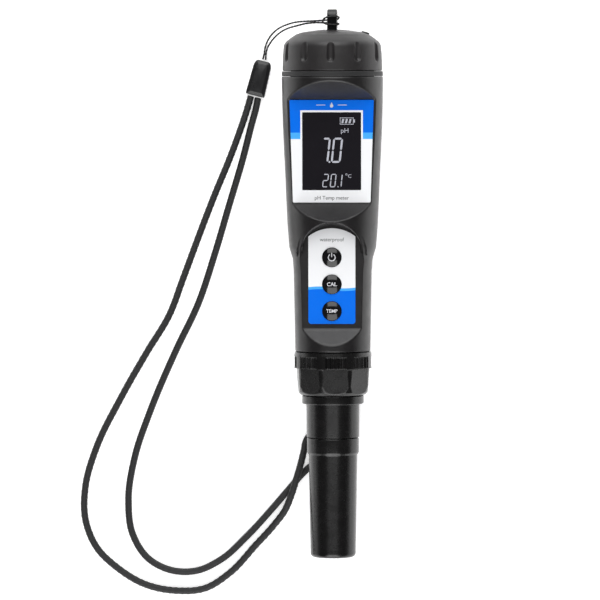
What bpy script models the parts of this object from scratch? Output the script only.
"""A pH test pen, lying on its back with its display up and its wrist strap beside it.

The pen is modelled standing, in its own frame: +Z runs up its axis from the end of the storage cap,
and its display looks along -Y. One empty then lays it down so that it rests on the collar nut and on
the grip, with the battery cap towards +Y and the display towards +Z. The strap's cords and clasp are
modelled where they lie, on the plane z = 0.

Lengths are in millimetres, and MM turns them into metres where a mesh or a place is made.
"""

import math

import bmesh
import bpy
from mathutils import Matrix, Vector
from mathutils.geometry import interpolate_bezier

MM = 0.001
FINE = 36
COARSE = 16
MERGE = 0.00001

# Driving dimensions along the pen's axis.
PEN_LENGTH = 205.8
NECK_TOP = 190.3
SHELL_TOP = 180.6
SHELL_BOTTOM = 77.8
SPIGOT_BOTTOM = 67.0
STORAGE_MOUTH = 45.0
STORAGE_RADIUS = 8.55
STORAGE_CORNER = 1.6

# The two places where the pen touches the table when it lies on its back: height and radius.
# Each rests on one of the sides that the turned shape is made of.
REST_COLLAR = (71.5, 14.55)
REST_GRIP = (161.8, 18.6)

# The front of the shell: both sunk panels have their floor this far in front of the axis.
PANEL_FRONT = 9.0
CAVITY_FRONT = 6.9
FILM = 0.4
FILM_GAP = 0.05
GAP = 0.3

# Display panel and window.
DISPLAY_TOP = 172.1
DISPLAY_BOTTOM = 133.4
LABEL_HALF_TOP = 15.8
LABEL_HALF_BOTTOM = 14.35
WINDOW_HALF = 11.0
WINDOW_BOTTOM = 138.2
WINDOW_TOP = 167.3

# Keypad.
KEYPAD_HALF = 8.8
KEYPAD_BOTTOM = 88.2
KEYPAD_SHOULDER = 120.9
KEYPAD_CROWN = 124.0
BUTTON_RADIUS = 3.57
BUTTON_HOLE = 3.95
BUTTONS = {"power": 113.1, "cal": 103.0, "temp": 93.0}

# Battery stack and screw cap.
CELL_RADIUS = 5.8
CELL_HEIGHT = 5.4
CELL_BACK = 6.4
FIRST_CELL = 168.2
CELLS = 4
CAP_FLUTES = 11

# Strap.
THIN_RADIUS = 0.35
CORD_RADIUS = 1.3
CLASP_HEIGHT = 4.0
CLASP_LENGTH = 13.5


def clear_scene():
    for obj in list(bpy.data.objects):
        bpy.data.objects.remove(obj, do_unlink=True)


def new_collection(name):
    made = bpy.data.collections.new(name)
    bpy.context.scene.collection.children.link(made)
    return made


def plastic(name, colour, roughness, metallic=0.0, alpha=1.0):
    made = bpy.data.materials.new(name)
    made.use_nodes = True
    shader = made.node_tree.nodes["Principled BSDF"]
    shader.inputs["Base Color"].default_value = (*colour, 1.0)
    shader.inputs["Roughness"].default_value = roughness
    shader.inputs["Metallic"].default_value = metallic
    shader.inputs["Alpha"].default_value = alpha
    return made


clear_scene()
PARTS = new_collection("ph_test_pen")
CUTTERS = new_collection("cutters")

SATIN_BLACK = plastic("satin_black", (0.018, 0.017, 0.018), 0.42)
GLOSS_BLACK = plastic("gloss_black", (0.008, 0.008, 0.009), 0.15)
LABEL_FILM = plastic("label_film", (0.005, 0.18, 0.80), 0.35)
KEYPAD_FILM = plastic("keypad_film", (0.86, 0.87, 0.90), 0.35)
CLEAR = plastic("clear_window", (0.02, 0.02, 0.022), 0.08, alpha=0.5)
LCD_GLASS = plastic("lcd_glass", (0.012, 0.012, 0.014), 0.1)
DIFFUSER = plastic("diffuser", (0.85, 0.87, 0.9), 0.4)
SOLDER_MASK = plastic("solder_mask", (0.01, 0.13, 0.05), 0.4)
CHIP_EPOXY = plastic("chip_epoxy", (0.02, 0.02, 0.02), 0.5)
SILICONE = plastic("silicone", (0.35, 0.36, 0.37), 0.6)
STEEL = plastic("steel", (0.6, 0.6, 0.6), 0.3, metallic=1.0)
NICKEL = plastic("nickel", (0.72, 0.7, 0.66), 0.25, metallic=1.0)
RUBBER = plastic("rubber", (0.015, 0.015, 0.015), 0.7)
SPONGE = plastic("sponge", (0.75, 0.7, 0.45), 0.9)
GLASS = plastic("glass", (0.75, 0.85, 0.88), 0.03, alpha=0.35)
CERAMIC = plastic("porous_white", (0.85, 0.84, 0.8), 0.8)
CORD = plastic("cord", (0.02, 0.02, 0.021), 0.75)


def add(name, data, material, cutter=False, parent=None):
    obj = bpy.data.objects.new(name, data)
    if cutter:
        CUTTERS.objects.link(obj)
        obj.hide_render = True
        obj.display_type = "WIRE"
    else:
        PARTS.objects.link(obj)
        obj.data.materials.append(material)
    obj.parent = parent
    return obj


def lay_down_matrix():
    """The pen's frame on the table: tilted to touch at both rest places, and centred along Y."""
    flat = math.cos(math.pi / FINE)
    rise = (REST_GRIP[1] - REST_COLLAR[1]) * flat
    tilt = math.atan2(rise, REST_GRIP[0] - REST_COLLAR[0])
    lift = REST_COLLAR[1] * flat * math.cos(tilt) - REST_COLLAR[0] * math.sin(tilt)
    low_end = -(STORAGE_RADIUS - STORAGE_CORNER) * math.sin(tilt)
    high_end = PEN_LENGTH * math.cos(tilt)
    place = Vector((0.0, -(low_end + high_end) / 2, lift)) * MM
    return Matrix.Translation(place) @ Matrix.Rotation(tilt - math.pi / 2, 4, "X")


PEN = bpy.data.objects.new("pen_axis", None)
PARTS.objects.link(PEN)
PEN.matrix_world = lay_down_matrix()


def on_table(x, front, height):
    """A point of the pen's own frame, given by x, distance in front of the axis and height, in mm."""
    return PEN.matrix_world @ (Vector((x, -front, height)) * MM) / MM


def arc(centre, radius, start, end, count):
    """Points on an arc in a plane, both ends included; angles in degrees."""
    angles = [math.radians(start + (end - start) * i / count) for i in range(count + 1)]
    return [(centre[0] + radius * math.cos(a), centre[1] + radius * math.sin(a)) for a in angles]


def rounded_box(half, low, high, radius, count=3):
    """The outline of an upright rectangle, x from -half to half, with round corners."""
    inner = half - radius
    corners = [
        arc((inner, high - radius), radius, 0, 90, count),
        arc((-inner, high - radius), radius, 90, 180, count),
        arc((-inner, low + radius), radius, 180, 270, count),
        arc((inner, low + radius), radius, 270, 360, count),
    ]
    return [point for corner in corners for point in corner]


def circle(x, y, radius, count=COARSE):
    return arc((x, y), radius, 0, 360 - 360 / count, count - 1)


def turned(name, profile, material=None, steps=FINE, x=0.0, back=0.0, facing=False, cutter=False):
    """A solid of revolution. The profile's points are (radius, height), outer side from the top down.

    A profile that starts or ends off the axis is closed into a ring, and one of its sides faces the
    pen's front. With facing, the part's own axis
    looks out of the pen's front at height back, and the profile's heights count from the pen's axis.
    """
    mesh = bpy.data.meshes.new(name)
    points = [(radius * MM, 0.0, height * MM) for radius, height in profile]
    edges = [(i, i + 1) for i in range(len(points) - 1)]
    if profile[0][0] > 0 or profile[-1][0] > 0:
        edges.append((len(points) - 1, 0))
    mesh.from_pydata(points, edges, [])
    obj = add(name, mesh, material, cutter, PEN)
    if facing:
        obj.rotation_euler = (math.pi / 2, 0, 0)
        obj.location = Vector((x, 0, back)) * MM
    else:
        obj.location = Vector((x, back, 0)) * MM
        obj.rotation_euler = (0, 0, math.pi / steps)
    screw = obj.modifiers.new("turn", "SCREW")
    screw.axis = "Z"
    screw.steps = steps
    screw.render_steps = steps
    screw.use_merge_vertices = True
    screw.merge_threshold = MERGE
    screw.use_smooth_shade = True
    return obj


def plate(name, outlines, low, high, material=None, sideways=False, parent=PEN):
    """A flat piece cut to its outlines; the outlines after the first are holes.

    It stands across the pen's front from low to high in front of the axis. With sideways its outline
    is given by (y, z) and it runs from low to high along x. With no parent it lies on the table and
    runs from low to high above it.
    """
    curve = bpy.data.curves.new(name, "CURVE")
    curve.dimensions = "2D"
    curve.fill_mode = "BOTH"
    curve.extrude = (high - low) / 2 * MM
    for outline in outlines:
        spline = curve.splines.new("POLY")
        spline.points.add(len(outline) - 1)
        for point, (u, v) in zip(spline.points, outline):
            point.co = (u * MM, v * MM, 0, 1)
        spline.use_cyclic_u = True
    obj = add(name, curve, material, parent=parent)
    middle = (low + high) / 2 * MM
    if sideways:
        obj.rotation_euler = (math.pi / 2, 0, math.pi / 2)
        obj.location = (middle, 0, 0)
    elif parent:
        obj.rotation_euler = (math.pi / 2, 0, 0)
        obj.location = (0, -middle, 0)
    else:
        obj.location = (0, 0, middle)
    return obj


def block(name, x, front, height, material=None, cutter=False):
    """A box from three (low, high) pairs: along x, in front of the axis, and up the pen."""
    mesh = bpy.data.meshes.new(name)
    shape = bmesh.new()
    bmesh.ops.create_cube(shape, size=1.0)
    size = Vector((x[1] - x[0], front[1] - front[0], height[1] - height[0])) * MM
    bmesh.ops.scale(shape, vec=size, verts=shape.verts)
    shape.to_mesh(mesh)
    shape.free()
    obj = add(name, mesh, material, cutter, PEN)
    middle = (x[0] + x[1], -(front[0] + front[1]), height[0] + height[1])
    obj.location = Vector(middle) / 2 * MM
    return obj


def loft(name, rings, material=None, cutter=False):
    """A closed skin through rings with the same number of points, in the pen's own frame."""
    mesh = bpy.data.meshes.new(name)
    shape = bmesh.new()
    rows = [[shape.verts.new(Vector(p) * MM) for p in ring] for ring in rings]
    for lower, upper in zip(rows, rows[1:]):
        for i in range(len(lower)):
            j = (i + 1) % len(lower)
            shape.faces.new((lower[i], lower[j], upper[j], upper[i]))
    shape.faces.new(rows[0])
    shape.faces.new(rows[-1])
    bmesh.ops.recalc_face_normals(shape, faces=shape.faces)
    shape.to_mesh(mesh)
    shape.free()
    return add(name, mesh, material, cutter, PEN)


def cut(obj, *cutters):
    for cutter in cutters:
        boolean = obj.modifiers.new(cutter.name, "BOOLEAN")
        boolean.operation = "DIFFERENCE"
        boolean.object = cutter


def tube(name, points, radius, material, parent=None):
    """A round cord or wire through the points, in millimetres."""
    curve = bpy.data.curves.new(name, "CURVE")
    curve.dimensions = "3D"
    curve.bevel_depth = radius * MM
    curve.bevel_resolution = 2
    curve.use_fill_caps = True
    spline = curve.splines.new("POLY")
    spline.points.add(len(points) - 1)
    for target, point in zip(spline.points, points):
        target.co = (*(Vector(point) * MM), 1)
    return add(name, curve, material, parent=parent)


def smooth_route(points, spacing):
    """Points on a smooth curve through the given points, about spacing apart."""
    points = [Vector(p) for p in points]
    tangents = [points[1] - points[0]]
    for before, here, after in zip(points, points[1:], points[2:]):
        blend = (here - before).length / ((here - before).length + (after - here).length)
        into = (here - before).normalized()
        out = (after - here).normalized()
        tangents.append(into.lerp(out, blend))
    tangents.append(points[-1] - points[-2])
    route = []
    for i in range(len(points) - 1):
        reach = (points[i + 1] - points[i]).length / 3
        first = points[i] + tangents[i].normalized() * reach
        second = points[i + 1] - tangents[i + 1].normalized() * reach
        count = max(1, round(3 * reach / spacing))
        route += interpolate_bezier(points[i], first, second, points[i + 1], count + 1)[:-1]
    return route + [points[-1]]


# ---------------------------------------------------------------- shell


def panel_cutters():
    """The display's sunk flat with its two sloping ends, and the arched keypad pocket below it."""
    deep = 22.0
    slope_top = (deep - PANEL_FRONT) * 6.8 / 9.9
    slope_bottom = (deep - PANEL_FRONT) * 6.8 / 8.1
    side = [
        (-PANEL_FRONT, DISPLAY_BOTTOM),
        (-PANEL_FRONT, DISPLAY_TOP),
        (-deep, DISPLAY_TOP + slope_top),
        (-deep, DISPLAY_BOTTOM - slope_bottom),
    ]
    rings = [[(x, y, z) for y, z in side] for x in (-25.0, 25.0)]
    display = loft("display_cutter", rings, cutter=True)

    def pocket_ring(front, radius, bottom):
        crown = arc((0, 113.9), radius, 0, 180, 20)
        outline = crown + [(-radius - 0.6, 111.5), (-16, 108), (-16, bottom)]
        outline += [(16, bottom), (16, 108), (radius + 0.6, 111.5)]
        return [(x, -front, z) for x, z in outline]

    outer = 19.0
    drop = (outer - PANEL_FRONT) * 6.1 / 5.1
    rings = [pocket_ring(PANEL_FRONT, 11.6, 86.3), pocket_ring(outer, 12.65, 86.3 - drop)]
    return display, loft("keypad_cutter", rings, cutter=True)


def body_shell():
    profile = [
        (0, NECK_TOP),
        (15.4, NECK_TOP),
        (15.7, 190.0),
        (15.7, 188.0),
        (16.1, 187.6),
        (16.1, 187.2),
        (15.7, 186.8),
        (15.7, 185.2),
        (16.1, 184.8),
        (16.1, 184.4),
        (15.7, 184.0),
        (15.7, SHELL_TOP),
        (18.7, SHELL_TOP),
        (19.0, SHELL_TOP - 0.4),
        (18.85, 170.8),
        REST_GRIP[::-1],
        (17.75, 143.7),
        (17.0, 125.6),
        (16.5, 118.9),
        (16.25, 116.4),
        (15.0, 112.3),
        (14.65, 107.6),
        (14.3, 89.5),
        (14.15, 80.0),
        (14.1, SHELL_BOTTOM + 0.3),
        (13.8, SHELL_BOTTOM),
        (10.6, SHELL_BOTTOM),
        (10.6, 75.6),
        (10.95, 75.2),
        (10.95, 74.8),
        (10.6, 74.4),
        (10.6, 72.6),
        (10.95, 72.2),
        (10.95, 71.8),
        (10.6, 71.4),
        (10.6, SPIGOT_BOTTOM + 0.3),
        (10.3, SPIGOT_BOTTOM),
        (0, SPIGOT_BOTTOM),
    ]
    shell = turned("body_shell", profile, SATIN_BLACK)
    cavity_profile = [
        (0, 195),
        (13.8, 195),
        (13.8, 116.0),
        (12.2, 112.0),
        (12.2, 82.0),
        (9.0, 80.0),
        (9.0, 60.0),
        (0, 60.0),
    ]
    cavity = turned("cavity_cutter", cavity_profile, cutter=True)
    cut(cavity, block("cavity_front", (-20, 20), (CAVITY_FRONT, 25), (80.0, 176.3), cutter=True))
    opening = block(
        "window_cutter",
        (-WINDOW_HALF - 0.9, WINDOW_HALF + 0.9),
        (5.0, 12.0),
        (WINDOW_BOTTOM - 0.9, WINDOW_TOP + 0.9),
        cutter=True,
    )
    cut(shell, cavity, *panel_cutters(), opening)
    for key, height in BUTTONS.items():
        hole = [(0, 12.0), (BUTTON_HOLE, 12.0), (BUTTON_HOLE, 5.0), (0, 5.0)]
        cut(shell, turned(key + "_hole", hole, steps=COARSE, back=height, facing=True, cutter=True))


# ---------------------------------------------------------------- display and electronics


def display():
    back = PANEL_FRONT + FILM_GAP
    label = [
        (LABEL_HALF_TOP, DISPLAY_TOP - 0.2),
        (-LABEL_HALF_TOP, DISPLAY_TOP - 0.2),
        (-LABEL_HALF_BOTTOM, DISPLAY_BOTTOM + 0.2),
        (LABEL_HALF_BOTTOM, DISPLAY_BOTTOM + 0.2),
    ]
    opening = rounded_box(WINDOW_HALF, WINDOW_BOTTOM, WINDOW_TOP, 0.5)
    plate("display_label", [label, opening], back, back + FILM, LABEL_FILM)
    window = rounded_box(WINDOW_HALF + 0.6, WINDOW_BOTTOM - 0.6, WINDOW_TOP + 0.6, 0.5)
    plate("display_window", [window], CAVITY_FRONT + 0.3, PANEL_FRONT - 0.05, CLEAR)
    glass = rounded_box(11.3, 137.4, 168.1, 0.3)
    plate("lcd_panel", [glass], 4.9, 6.6, LCD_GLASS)
    plate("lcd_backlight", [rounded_box(11.0, 138.0, 167.6, 0.3)], 2.9, 4.6, DIFFUSER)
    plate("lcd_connector", [rounded_box(10.4, 134.4, 136.8, 0.3)], 2.7, 6.2, SILICONE)


def board_outline(lower_half, upper_half, low, high):
    return [
        (lower_half, low),
        (lower_half, 112.0),
        (upper_half, 117.0),
        (upper_half, high),
        (-upper_half, high),
        (-upper_half, 117.0),
        (-lower_half, 112.0),
        (-lower_half, low),
    ]


def electronics():
    screw_places = {"lower": 87.2, "upper": 128.0}
    holes = [circle(0, z, 0.95, 12) for z in screw_places.values()]
    board = board_outline(11.2, 13.0, 85.2, 172.0)
    plate("circuit_board", [board, *holes], 0.8, 2.4, SOLDER_MASK)
    frame = board_outline(11.4, 13.2, 85.6, 160.0)
    plate("board_frame", [frame, *holes], -1.4, 0.5, SATIN_BLACK)
    screw = [(0, 3.4), (1.2, 3.4), (1.6, 3.0), (1.6, 2.7), (0.65, 2.7), (0.65, -1.2), (0, -1.2)]
    for end, height in screw_places.items():
        turned("board_screw_" + end, screw, STEEL, 12, back=height, facing=True)
    block("main_chip", (-9.0, -1.8), (2.7, 3.9), (118.2, 125.4), CHIP_EPOXY)
    block("amplifier_chip", (3.0, 8.0), (2.7, 4.1), (119.0, 123.0), CHIP_EPOXY)


# ---------------------------------------------------------------- keypad


def keypad():
    half = KEYPAD_HALF
    rise = KEYPAD_CROWN - KEYPAD_SHOULDER
    radius = (half * half + rise * rise) / (2 * rise)
    spread = math.degrees(math.asin(half / radius))
    crown = arc((0, KEYPAD_CROWN - radius), radius, 90 - spread, 90 + spread, 12)
    outline = crown + arc((-half + 1, KEYPAD_BOTTOM + 1), 1, 180, 270, 3)
    outline += arc((half - 1, KEYPAD_BOTTOM + 1), 1, 270, 360, 3)
    holes = [circle(0, z, BUTTON_RADIUS + 0.2) for z in BUTTONS.values()]
    back = PANEL_FRONT + FILM_GAP
    plate("keypad_overlay", [outline, *holes], back, back + FILM, KEYPAD_FILM)
    seal = rounded_box(8.0, 86.5, 119.5, 1.5)
    plate("keypad_seal", [seal, *holes], CAVITY_FRONT - 0.8, CAVITY_FRONT - 0.2, SILICONE)
    cap = [(0, 10.55), (1.2, 10.5), (2.3, 10.35), (3.1, 10.1), (3.45, 9.85), (BUTTON_RADIUS, 9.5)]
    cap += [(BUTTON_RADIUS, 5.8), (4.6, 5.8), (4.6, 5.2), (0, 5.2)]
    plunger = [(0, 5.0), (1.1, 5.0), (1.1, 3.7), (0, 3.7)]
    for key, height in BUTTONS.items():
        turned(key + "_button", cap, GLOSS_BLACK, COARSE, back=height, facing=True)
        turned(key + "_plunger", plunger, SATIN_BLACK, 12, back=height, facing=True)
        switch = rounded_box(2.6, height - 2.6, height + 2.6, 0.3, 1)
        plate(key + "_switch", [switch, circle(0, height, 1.5, 12)], 2.65, 4.3, NICKEL)


# ---------------------------------------------------------------- battery compartment


def batteries():
    top = FIRST_CELL + CELLS * CELL_HEIGHT
    cell = [(0, CELL_HEIGHT - 0.1), (4.3, CELL_HEIGHT - 0.1), (4.3, CELL_HEIGHT - 0.4)]
    cell += [(CELL_RADIUS - 0.3, CELL_HEIGHT - 0.4), (CELL_RADIUS, CELL_HEIGHT - 0.7)]
    cell += [(CELL_RADIUS, 0.3), (CELL_RADIUS - 0.3, 0), (0, 0)]
    for i in range(CELLS):
        low = FIRST_CELL + i * CELL_HEIGHT
        profile = [(radius, height + low) for radius, height in cell]
        turned(f"battery_cell_{i + 1}", profile, NICKEL, COARSE, back=CELL_BACK)
    holder = [(7.0, top - 1.2), (7.0, 164.0), (1.5, 164.0), (1.5, 165.2), (6.2, 165.2)]
    holder.append((6.2, top - 1.2))
    turned("battery_carrier", holder, SATIN_BLACK, COARSE, back=CELL_BACK)
    turns = 2.5
    count = round(turns * 12)
    coil = []
    for i in range(count + 1):
        angle = 2 * math.pi * turns * i / count
        height = 165.9 + 1.7 * i / count
        coil.append((4.2 * math.cos(angle), CELL_BACK + 4.2 * math.sin(angle), height))
    tube("battery_spring", coil, 0.25, STEEL, parent=PEN)
    block("battery_contact", (8.6, 11.4), (-2.6, -2.2), (150.0, NECK_TOP - 0.4), NICKEL)


def battery_cap():
    gasket = [(18.95, 182.4), (18.95, 180.9), (16.3, 180.9), (16.3, 182.4)]
    turned("cap_gasket", gasket, RUBBER)
    outer = [
        (0, 198.3),
        (5.6, 197.95),
        (11.4, 197.15),
        (13.6, 196.4),
        (15.7, 195.0),
        (16.9, 194.1),
        (17.6, 193.4),
        (18.2, 192.4),
        (18.5, 188.9),
        (18.65, 183.2),
        (18.4, 182.7),
        (16.5, 182.7),
        (16.5, 191.4),
        (13.5, 194.2),
        (0, 194.2),
    ]
    cap = turned("battery_cap", outer, SATIN_BLACK)
    chord = 1.6
    depth = 1.0
    radius = (chord * chord + depth * depth) / (2 * depth)
    reach = 18.5 - depth + radius
    mesh = bpy.data.meshes.new("flute_cutter")
    shape = bmesh.new()
    for i in range(CAP_FLUTES):
        angle = 2 * math.pi * i / CAP_FLUTES - math.pi / 2
        place = Vector((reach * math.cos(angle), reach * math.sin(angle), 192.5)) * MM
        bmesh.ops.create_cone(
            shape,
            cap_ends=True,
            segments=16,
            radius1=radius * MM,
            radius2=radius * MM,
            depth=12.0 * MM,
            matrix=Matrix.Translation(place),
        )
    shape.to_mesh(mesh)
    shape.free()
    socket = block("lug_socket", (-2.15, 2.15), (-4.2, 4.2), (196.9, 200), cutter=True)
    cut(cap, add("flute_cutter", mesh, None, True, PEN), socket)
    contact = [(0, 193.9), (1.6, 193.9), (1.6, 191.2), (12.4, 191.1), (12.4, 190.6), (0, 190.6)]
    turned("cap_contact", contact, NICKEL, COARSE)
    loop = arc((1.5, 203.4), 2.4, 0, 90, 5) + arc((-1.5, 203.4), 2.4, 90, 180, 5)
    loop += [(-3.9, 197.2), (3.9, 197.2)]
    hole = rounded_box(1.9, 199.2, 203.8, 0.7, 2)
    plate("strap_lug", [loop, hole], -1.85, 1.85, GLOSS_BLACK, sideways=True)


# ---------------------------------------------------------------- strap


# The hitch round the lug's front leg: x, distance in front of the axis, and height on the pen.
HITCH = [
    (-5.6, 1.3, 201.5),
    (-2.6, 1.45, 201.7),
    (0.0, 1.4, 201.8),
    (1.9, 1.5, 202.0),
    (2.45, 2.6, 202.4),
    (2.4, 3.9, 202.9),
    (1.6, 4.6, 203.1),
    (0.0, 4.65, 203.1),
    (-1.8, 4.6, 202.8),
    (-3.0, 4.0, 202.2),
    (-3.5, 3.5, 201.4),
    (-3.0, 4.0, 200.6),
    (-1.8, 4.6, 200.2),
    (0.0, 4.65, 200.0),
    (1.6, 4.6, 200.0),
    (2.4, 3.9, 200.1),
    (2.45, 2.6, 200.3),
    (1.9, 1.5, 200.5),
    (0.0, 1.4, 200.6),
    (-2.6, 1.45, 200.7),
    (-5.6, 1.3, 200.8),
]

# The thin cord's two strands between the clasp and the hitch, on and above the table.
THIN_UP = [
    (-27.0, 85.1, 1.9),
    (-26.5, 87.0, 1.5),
    (-26.2, 89.2, 1.4),
    (-25.5, 91.4, 1.7),
    (-24.2, 93.6, 2.8),
    (-22.4, 95.4, 5.2),
    (-20.0, 96.8, 8.6),
    (-16.9, 97.8, 12.7),
    (-13.5, 98.4, 16.6),
    (-9.6, 98.5, 19.8),
]
THIN_DOWN = [
    (-9.6, 97.7, 19.7),
    (-13.5, 97.0, 16.4),
    (-16.9, 96.3, 12.4),
    (-20.0, 95.0, 8.2),
    (-22.4, 93.2, 4.9),
    (-24.3, 91.0, 2.6),
    (-25.4, 89.0, 1.6),
    (-25.8, 87.0, 1.5),
    (-25.9, 84.9, 1.9),
]

# The braided cord's route from the clasp, round its loop and back to the clasp.
CORD_ROUTE = [
    (-31.5, 71.2, 1.9),
    (-33.0, 66.1, 1.4),
    (-36.1, 56.9, 1.35),
    (-39.5, 47.8, 1.35),
    (-45.2, 34.0, 1.35),
    (-50.5, 20.3, 1.35),
    (-57.3, 2.0, 1.35),
    (-62.5, -11.7, 1.35),
    (-70.9, -25.6, 1.35),
    (-81.2, -43.7, 1.35),
    (-90.2, -62.0, 1.35),
    (-94.4, -77.0, 1.35),
    (-94.3, -89.5, 1.35),
    (-90.2, -99.6, 1.35),
    (-81.8, -107.8, 1.35),
    (-72.0, -113.6, 1.35),
    (-60.0, -116.1, 1.35),
    (-49.0, -115.2, 1.35),
    (-39.5, -109.3, 1.35),
    (-29.7, -98.8, 1.35),
    (-22.8, -91.2, 1.6),
    (-18.6, -85.6, 2.7),
    (-16.0, -79.4, 3.9),
    (-14.0, -73.0, 4.2),
    (-12.4, -67.4, 3.8),
    (-11.3, -62.6, 2.8),
    (-10.6, -59.3, 1.9),
    (-8.7, -56.9, 1.45),
    (-5.6, -56.3, 1.35),
    (-2.2, -57.5, 1.35),
    (-0.3, -60.8, 1.35),
    (-1.2, -64.6, 1.35),
    (-4.4, -67.0, 1.35),
    (-8.4, -68.6, 1.35),
    (-12.2, -72.0, 1.35),
    (-16.4, -76.8, 1.35),
    (-23.8, -85.4, 1.35),
    (-33.0, -95.4, 1.35),
    (-42.9, -104.3, 1.35),
    (-52.0, -108.5, 1.35),
    (-62.0, -108.3, 1.35),
    (-70.4, -104.0, 1.35),
    (-76.3, -95.0, 1.35),
    (-78.0, -82.0, 1.35),
    (-75.6, -65.5, 1.35),
    (-69.7, -48.0, 1.35),
    (-60.1, -25.4, 1.35),
    (-51.4, -7.1, 1.35),
    (-45.3, 11.2, 1.35),
    (-39.9, 29.5, 1.35),
    (-34.5, 47.8, 1.35),
    (-31.0, 61.5, 1.35),
    (-29.7, 66.2, 1.4),
    (-28.8, 70.5, 1.9),
]


def strap():
    hitch = [on_table(*place) for place in HITCH]
    thin = smooth_route(THIN_UP + hitch + THIN_DOWN, 2.5)
    tube("strap_thin_cord", thin, THIN_RADIUS, CORD)
    tube("strap_cord", smooth_route(CORD_ROUTE, 9.0), CORD_RADIUS, CORD)
    half = CLASP_LENGTH / 2
    outline = [(2.5, half), (-2.5, half), (-3.35, half - 1.6), (-3.6, -half + 0.8), (-2.9, -half)]
    outline += [(2.9, -half), (3.6, -half + 0.8), (3.35, half - 1.6)]
    clasp = plate("strap_clasp", [outline[::-1]], 0.05, 0.05 + CLASP_HEIGHT, GLOSS_BLACK, parent=None)
    clasp.location.x = -28.3 * MM
    clasp.location.y = 77.9 * MM
    clasp.rotation_euler.z = math.radians(-14.4)


# ---------------------------------------------------------------- probe


def probe():
    housing = [
        (0, 76.0),
        (8.2, 76.0),
        (8.6, 75.6),
        (8.6, 65.3),
        (11.0, 65.3),
        (11.0, 63.8),
        (10.0, 63.8),
        (10.0, 61.0),
        (11.4, 61.0),
        (11.6, 60.8),
        (11.6, 58.1),
        (11.3, 57.8),
        (10.0, 57.8),
        (9.9, STORAGE_MOUTH + GAP),
        (8.3, STORAGE_MOUTH + GAP),
        (8.3, 42.6),
        (7.6, 42.4),
        (7.6, 41.2),
        (8.3, 41.0),
        (8.3, 38.4),
        (8.0, 38.0),
        (6.3, 38.0),
        (6.3, 56.0),
        (0, 56.0),
    ]
    turned("electrode_housing", housing, SATIN_BLACK)
    sleeve = [(6.0, 55.7), (6.0, 9.6), (5.6, 9.2), (5.0, 9.2), (5.0, 55.7)]
    turned("electrode_sleeve", sleeve, SATIN_BLACK, COARSE)
    bulb = arc((0, 13.4), 2.6, 32, -90, 9)[:-1] + [(0, 10.8)]
    turned("glass_electrode", [(0, 55.5), (2.2, 55.5), (2.2, 14.8), *bulb], GLASS, COARSE)
    junction = [(4.7, 20.0), (4.7, 18.0), (2.5, 18.0), (2.5, 20.0)]
    turned("reference_junction", junction, CERAMIC, COARSE)
    pin = [(0, 17.7), (0.8, 17.7), (0.8, 11.0), (0.5, 10.6), (0, 10.6)]
    turned("temperature_probe", pin, STEEL, 12, x=3.8)
    ring = [(8.5, 42.1), (8.5, 41.5), (8.2, 41.3), (7.9, 41.3), (7.9, 42.3), (8.2, 42.3)]
    turned("storage_seal", ring, RUBBER, COARSE)
    flat_seal = [(11.0, 66.7), (11.0, 65.6), (9.1, 65.6), (9.1, 66.7)]
    turned("electrode_seal", flat_seal, RUBBER, COARSE)
    plug = [(0, 81.0), (3.6, 81.0), (4.0, 80.6), (4.0, 77.6), (7.4, 77.6), (7.4, 76.3), (0, 76.3)]
    turned("electrode_connector", plug, NICKEL, COARSE)
    socket = [(0, 84.6), (6.2, 84.6), (6.6, 84.2), (6.6, 79.6), (8.7, 79.6), (8.7, 78.0)]
    socket += [(4.5, 78.0), (4.5, 81.6), (0, 81.6)]
    turned("probe_socket", socket, SATIN_BLACK, COARSE)


def collar_nut():
    profile = [
        (13.9, 77.4),
        (14.3, 77.2),
        (14.55, 75.9),
        REST_COLLAR[::-1],
        (14.15, 71.1),
        (14.0, 69.2),
        (13.85, 64.7),
        (13.3, 62.4),
        (12.2, 61.3),
        (10.3, 61.3),
        (10.3, 63.5),
        (11.3, 63.5),
        (11.3, 77.4),
    ]
    nut = turned("collar_nut", profile, SATIN_BLACK)
    lean = math.atan2(0.6, 9.0)
    for i in range(8):
        flat = block(f"flat_cutter_{i}", (-8, 8), (0, 6), (-2.8, 9.2), cutter=True)
        turn = Matrix.Rotation(math.radians(45 * i + 6.5), 4, "Z")
        place = Matrix.Translation(Vector((0, -12.75, 62.0)) * MM)
        tilt = Matrix.Rotation(lean, 4, "X")
        middle = Matrix.Translation(Vector((0, -3.0, 3.2)) * MM)
        flat.matrix_local = turn @ place @ tilt @ middle
        cut(nut, flat)


def storage_cap():
    radius = STORAGE_RADIUS
    corner = STORAGE_CORNER
    profile = [(0, 0), *arc((radius - corner, corner), corner, -90, 0, 4)]
    outer = [(9.45, STORAGE_MOUTH), (9.75, STORAGE_MOUTH - 0.3), (9.75, 39.5), (9.1, 38.5)]
    inner = [(0, 2.2), (6.6, 2.2), (7.2, 2.8), (7.2, 36.6), (8.7, 37.4), (8.7, STORAGE_MOUTH)]
    turned("storage_cap", inner + outer + profile[::-1], SATIN_BLACK)
    sponge = [(0, 7.6), (6.6, 7.6), (6.9, 7.2), (6.9, 3.2), (6.3, 2.6), (0, 2.6)]
    turned("storage_sponge", sponge, SPONGE, COARSE)


body_shell()
display()
electronics()
keypad()
batteries()
battery_cap()
strap()
probe()
collar_nut()
storage_cap()
